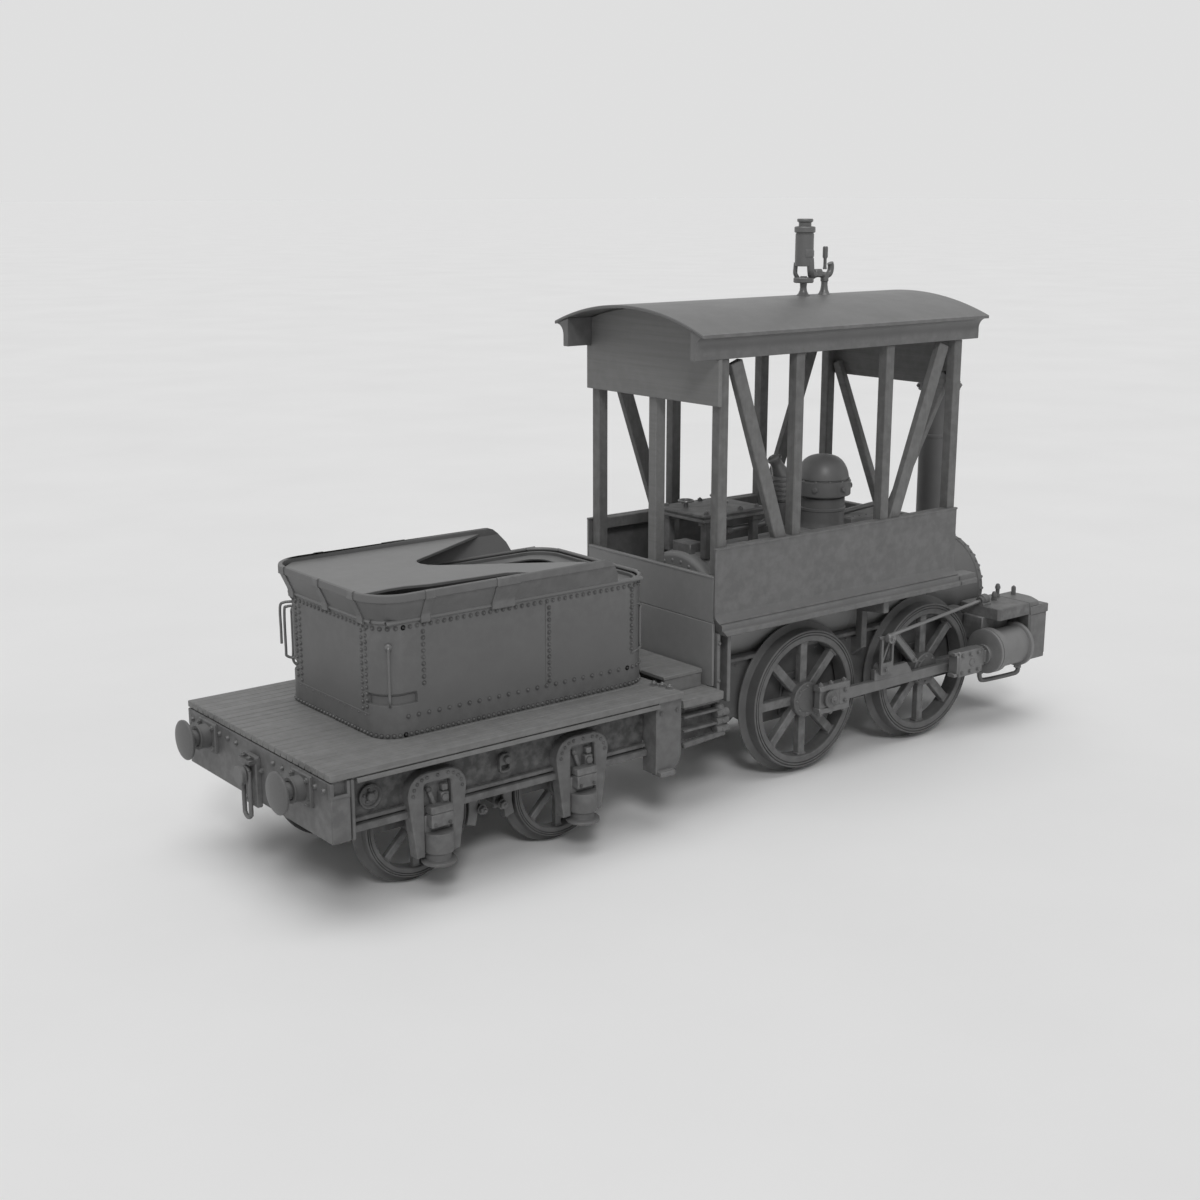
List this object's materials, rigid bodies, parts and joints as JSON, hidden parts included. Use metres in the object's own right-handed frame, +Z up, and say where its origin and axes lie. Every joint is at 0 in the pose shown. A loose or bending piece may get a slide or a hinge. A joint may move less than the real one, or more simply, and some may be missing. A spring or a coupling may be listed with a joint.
{
  "type": "live steam engine",
  "caption": "Garden-gauge live steam engine: open timber-framed cab over a wagon-top boiler, tall chimney, spoked wheels, and a four-wheeled tender with a riveted tank.",
  "frame": {"origin": "on the ground under the middle of the whole length, half way between the wheels", "axes": "+X the way the engine runs, +Y to its left, +Z up"},
  "size_m": [0.8472, 0.23, 0.493],
  "materials": {
    "paint": "satin neutral grey paint",
    "dark_paint": "matt darker grey paint",
    "timber": "matt grey painted timber",
    "steel": "satin bare steel",
    "iron": "matt grey iron"
  },
  "bodies": {
    "engine": {"main_frame_right": "dark_paint", "main_frame_left": "dark_paint", "front_beam": "paint", "cylinder_right": "iron", "cylinder_left": "iron", "footplate": "timber", "step_box": "timber", "cab_base": "paint", "cab_side_panel_right": "paint", "cab_side_panel_left": "paint", "cab_rear_panel": "paint", "cab_side_frame_right": "timber", "cab_side_frame_left": "timber", "cab_rear_frame": "timber", "cab_front_frame": "timber", "roof": "paint", "boiler": "dark_paint", "smokebox": "dark_paint", "chimney": "dark_paint", "dome": "paint", "safety_valve": "steel", "steam_manifold": "iron", "whistle": "steel", "drawbar": "iron"},
    "tender": {"tender_deck": "timber", "tender_headstock": "paint", "sole_bar_right": "dark_paint", "sole_bar_left": "dark_paint", "drag_beam": "dark_paint", "tank": "paint", "tank_coping": "paint", "pedestal_rear_right": "iron", "pedestal_rear_left": "iron", "pedestal_front_right": "iron", "pedestal_front_left": "iron"},
    "driving_wheels": {"rear_wheel_right": "iron", "rear_wheel_left": "iron", "rear_axle": "steel"},
    "front_wheels": {"front_wheelset": "iron"},
    "smokebox_door_body": {"smokebox_door": "dark_paint"},
    "firehole_door_body": {"firehole_door": "iron"},
    "regulator_handle_body": {"regulator_handle": "steel"},
    "whistle_lever_body": {"whistle_lever": "steel"},
    "connecting_rod_right_body": {"connecting_rod_right": "steel"},
    "connecting_rod_left_body": {"connecting_rod_left": "steel"},
    "valve_link_right_body": {"valve_link_right": "steel"},
    "valve_link_left_body": {"valve_link_left": "steel"},
    "crosshead_right_body": {"crosshead_right": "steel"},
    "crosshead_left_body": {"crosshead_left": "steel"},
    "valve_rod_right_body": {"valve_rod_right": "steel"},
    "valve_rod_left_body": {"valve_rod_left": "steel"},
    "tender_rear_wheelset_body": {"tender_rear_wheelset": "iron", "tender_rear_flanges": "iron"},
    "tender_front_wheelset_body": {"tender_front_wheelset": "iron", "tender_front_flanges": "iron"},
    "buffer_right_body": {"buffer_right": "steel"},
    "buffer_left_body": {"buffer_left": "steel"},
    "coupling_link_body": {"coupling_link": "iron"},
    "brake_beam_rear_body": {"brake_beam_rear": "iron"},
    "brake_beam_front_body": {"brake_beam_front": "iron"}
  },
  "joints": [
    {"name": "tender_swing", "type": "hinge", "parent": "engine", "child": "tender", "pos_m": [-0.064, 0, 0.092], "axis": [0, 0, 1], "range_deg": [-4, 4]},
    {"name": "driving_wheels_turn", "type": "hinge", "parent": "engine", "child": "driving_wheels", "pos_m": [0.1102, 0, 0.07], "axis": [0, 1, 0], "continuous": true},
    {"name": "front_wheels_turn", "type": "hinge", "parent": "engine", "child": "front_wheels", "pos_m": [0.2709, 0, 0.07], "axis": [0, 1, 0], "continuous": true},
    {"name": "connecting_rod_right_turn", "type": "hinge", "parent": "driving_wheels", "child": "connecting_rod_right_body", "pos_m": [0.1282, -0.0841, 0.07], "axis": [0, 1, 0], "continuous": true},
    {"name": "valve_link_right_swing", "type": "hinge", "parent": "connecting_rod_right_body", "child": "valve_link_right_body", "pos_m": [0.197, -0.0911, 0.086], "axis": [0, 1, 0], "range_deg": [-10, 10]},
    {"name": "crosshead_right_slide", "type": "slide", "parent": "engine", "child": "crosshead_right_body", "axis": [1, 0, 0], "range_m": [-0.036, 0]},
    {"name": "valve_rod_right_slide", "type": "slide", "parent": "engine", "child": "valve_rod_right_body", "axis": [0.9892, 0.1432, 0.0312], "range_m": [-0.006, 0.006]},
    {"name": "connecting_rod_left_turn", "type": "hinge", "parent": "driving_wheels", "child": "connecting_rod_left_body", "pos_m": [0.1102, 0.0841, 0.088], "axis": [0, 1, 0], "continuous": true},
    {"name": "valve_link_left_swing", "type": "hinge", "parent": "connecting_rod_left_body", "child": "valve_link_left_body", "pos_m": [0.18025, 0.0911, 0.09711], "axis": [0, 1, 0], "range_deg": [-10, 10]},
    {"name": "crosshead_left_slide", "type": "slide", "parent": "engine", "child": "crosshead_left_body", "axis": [1, 0, 0], "range_m": [-0.01711, 0.01889]},
    {"name": "valve_rod_left_slide", "type": "slide", "parent": "engine", "child": "valve_rod_left_body", "axis": [0.9892, -0.1432, 0.0312], "range_m": [-0.006, 0.006]},
    {"name": "smokebox_door_hinge", "type": "hinge", "parent": "engine", "child": "smokebox_door_body", "pos_m": [0.388, 0.046, 0.128], "axis": [0, 0, 1], "range_deg": [0, 90]},
    {"name": "firehole_door_hinge", "type": "hinge", "parent": "engine", "child": "firehole_door_body", "pos_m": [0.0165, 0.014, 0.124], "axis": [0, 0, -1], "range_deg": [0, 85]},
    {"name": "regulator_handle_turn", "type": "hinge", "parent": "engine", "child": "regulator_handle_body", "pos_m": [0.014, 0, 0.182], "axis": [1, 0, 0], "range_deg": [-10, 50]},
    {"name": "whistle_lever_tilt", "type": "hinge", "parent": "engine", "child": "whistle_lever_body", "pos_m": [0.195, 0, 0.448], "axis": [0, -1, 0], "range_deg": [0, 20], "stiffness_Nm_per_rad": 0.01},
    {"name": "tender_rear_wheels_turn", "type": "hinge", "parent": "tender", "child": "tender_rear_wheelset_body", "pos_m": [-0.302, 0, 0.051], "axis": [0, 1, 0], "continuous": true},
    {"name": "tender_front_wheels_turn", "type": "hinge", "parent": "tender", "child": "tender_front_wheelset_body", "pos_m": [-0.1655, 0, 0.051], "axis": [0, 1, 0], "continuous": true},
    {"name": "buffer_right_slide", "type": "slide", "parent": "tender", "child": "buffer_right_body", "axis": [1, 0, 0], "range_m": [0, 0.005], "stiffness_N_per_m": 1500},
    {"name": "buffer_left_slide", "type": "slide", "parent": "tender", "child": "buffer_left_body", "axis": [1, 0, 0], "range_m": [0, 0.005], "stiffness_N_per_m": 1500},
    {"name": "coupling_link_swing", "type": "hinge", "parent": "tender", "child": "coupling_link_body", "pos_m": [-0.407, 0, 0.092], "axis": [1, 0, 0], "range_deg": [-30, 30]},
    {"name": "brake_rear_swing", "type": "hinge", "parent": "tender", "child": "brake_beam_rear_body", "pos_m": [-0.246, 0, 0.106], "axis": [0, 1, 0], "range_deg": [0, 1.8]},
    {"name": "brake_front_swing", "type": "hinge", "parent": "tender", "child": "brake_beam_front_body", "pos_m": [-0.2215, 0, 0.106], "axis": [0, 1, 0], "range_deg": [-1.8, 0]}
  ],
  "couplings": [
    {"joint": "connecting_rod_right_turn", "follows": "driving_wheels_turn", "ratio": -1},
    {"joint": "connecting_rod_left_turn", "follows": "driving_wheels_turn", "ratio": -1},
    {"joint": "brake_front_swing", "follows": "brake_rear_swing", "ratio": -1}
  ]
}
